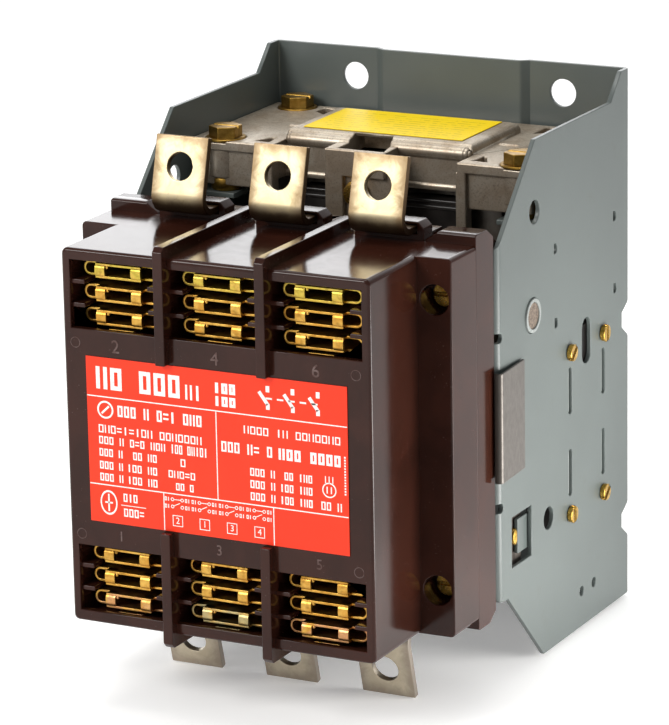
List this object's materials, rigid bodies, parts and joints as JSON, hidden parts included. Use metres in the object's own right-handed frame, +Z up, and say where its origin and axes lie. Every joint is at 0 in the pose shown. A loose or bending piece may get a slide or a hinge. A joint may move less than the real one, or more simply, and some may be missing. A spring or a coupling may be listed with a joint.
{
  "type": "three-pole power contactor",
  "caption": "Large panel-mount power contactor: open sheet-steel cradle, cast magnet housing on top, rocker drive, brown moulded arc chambers and flat bolted terminals.",
  "frame": {"origin": "centre of the rear face of the back plate's middle panel, half way up the frame", "axes": "+Y to the rear, out of the back plate; -Y is the front with the arc chutes and the label; +Z up; +X to the right seen from the front"},
  "size_m": [0.1738, 0.22, 0.2341],
  "materials": {
    "frame_paint": "grey semi-gloss paint",
    "brown_moulding": "glossy dark brown phenolic moulding",
    "label_red": "printed foil label, red with white rules and bars",
    "label_yellow": "printed yellow sticker with faint grey lines",
    "terminal_plate": "silver-plated copper bar with bronze tarnish",
    "splitter_brass": "bright pressed sheet",
    "contact_copper": "copper bar with silver tips",
    "spring_steel": "bright spring wire",
    "housing_aluminium": "weathered pressure casting",
    "lever_aluminium": "pressure casting",
    "core_steel": "laminated sheet steel",
    "bobbin_black": "black moulding",
    "coil_tape": "copper wire under dark tape",
    "shaft_steel": "ground bar",
    "bush_nylon": "white nylon",
    "clip_steel": "dark zinc-plated spring sheet",
    "aux_moulding": "dark moulding",
    "carrier_moulding": "dark brown moulding",
    "screw_brass": "brass, turned",
    "hex_brass": "brass, tarnished"
  },
  "bodies": {
    "frame": {"mounting_frame": "frame_paint", "contact_base": "brown_moulding", "front_cover": "brown_moulding", "rating_label": "label_red", "magnet_housing": "housing_aluminium", "magnet_label": "label_yellow", "magnet_core": "core_steel", "coil_bobbin": "bobbin_black", "coil_winding": "coil_tape", "shaft_bush_left": "bush_nylon", "side_clip_left": "clip_steel", "aux_block_upper_left": "aux_moulding", "aux_block_lower_left": "aux_moulding", "return_spring_left": "spring_steel", "aux_screw_left_1": "screw_brass", "aux_screw_left_2": "screw_brass", "aux_screw_left_3": "screw_brass", "aux_screw_left_4": "screw_brass", "cover_screw_upper_left": "screw_brass", "cover_screw_lower_left": "screw_brass", "shaft_bush_right": "bush_nylon", "side_clip_right": "clip_steel", "aux_block_upper_right": "aux_moulding", "aux_block_lower_right": "aux_moulding", "return_spring_right": "spring_steel", "aux_screw_right_1": "screw_brass", "aux_screw_right_2": "screw_brass", "aux_screw_right_3": "screw_brass", "aux_screw_right_4": "screw_brass", "cover_screw_upper_right": "screw_brass", "cover_screw_lower_right": "screw_brass", "housing_screw_1": "hex_brass", "housing_screw_2": "hex_brass", "housing_screw_3": "hex_brass", "housing_screw_4": "hex_brass", "terminal_upper_1": "terminal_plate", "terminal_lower_1": "terminal_plate", "arc_splitter_upper_1": "splitter_brass", "arc_splitter_lower_1": "splitter_brass", "terminal_upper_2": "terminal_plate", "terminal_lower_2": "terminal_plate", "arc_splitter_upper_2": "splitter_brass", "arc_splitter_lower_2": "splitter_brass", "terminal_upper_3": "terminal_plate", "terminal_lower_3": "terminal_plate", "arc_splitter_upper_3": "splitter_brass", "arc_splitter_lower_3": "splitter_brass"},
    "rocker": {"rocker_lever": "lever_aluminium", "rocker_shaft": "shaft_steel"},
    "armature": {"armature": "core_steel"},
    "carrier": {"contact_carrier": "carrier_moulding"},
    "bridge_1": {"contact_bridge_1": "contact_copper", "contact_spring_1": "spring_steel"},
    "bridge_2": {"contact_bridge_2": "contact_copper", "contact_spring_2": "spring_steel"},
    "bridge_3": {"contact_bridge_3": "contact_copper", "contact_spring_3": "spring_steel"}
  },
  "joints": [
    {"name": "rocker_turn", "type": "hinge", "parent": "frame", "child": "rocker", "pos_m": [0, -0.0978, 0.0324], "axis": [1, 0, 0], "range_deg": [0, 7.5], "stiffness_Nm_per_rad": 10, "springref_deg": -5.73},
    {"name": "armature_lift", "type": "slide", "parent": "frame", "child": "armature", "axis": [0, 0, 1], "range_m": [0, 0.0076], "deforming": ["return_spring_left", "return_spring_right"]},
    {"name": "carrier_slide", "type": "slide", "parent": "frame", "child": "carrier", "axis": [0, 1, 0], "range_m": [0, 0.0077]},
    {"name": "bridge_float_1", "type": "slide", "parent": "carrier", "child": "bridge_1", "axis": [0, 1, 0], "range_m": [-0.0018, 0], "stiffness_N_per_m": 3000},
    {"name": "bridge_float_2", "type": "slide", "parent": "carrier", "child": "bridge_2", "axis": [0, 1, 0], "range_m": [-0.0018, 0], "stiffness_N_per_m": 3000},
    {"name": "bridge_float_3", "type": "slide", "parent": "carrier", "child": "bridge_3", "axis": [0, 1, 0], "range_m": [-0.0018, 0], "stiffness_N_per_m": 3000}
  ],
  "couplings": [
    {"joint": "armature_lift", "follows": "rocker_turn", "m_per_rad": 0.0573},
    {"joint": "carrier_slide", "follows": "rocker_turn", "m_per_rad": 0.0582}
  ]
}
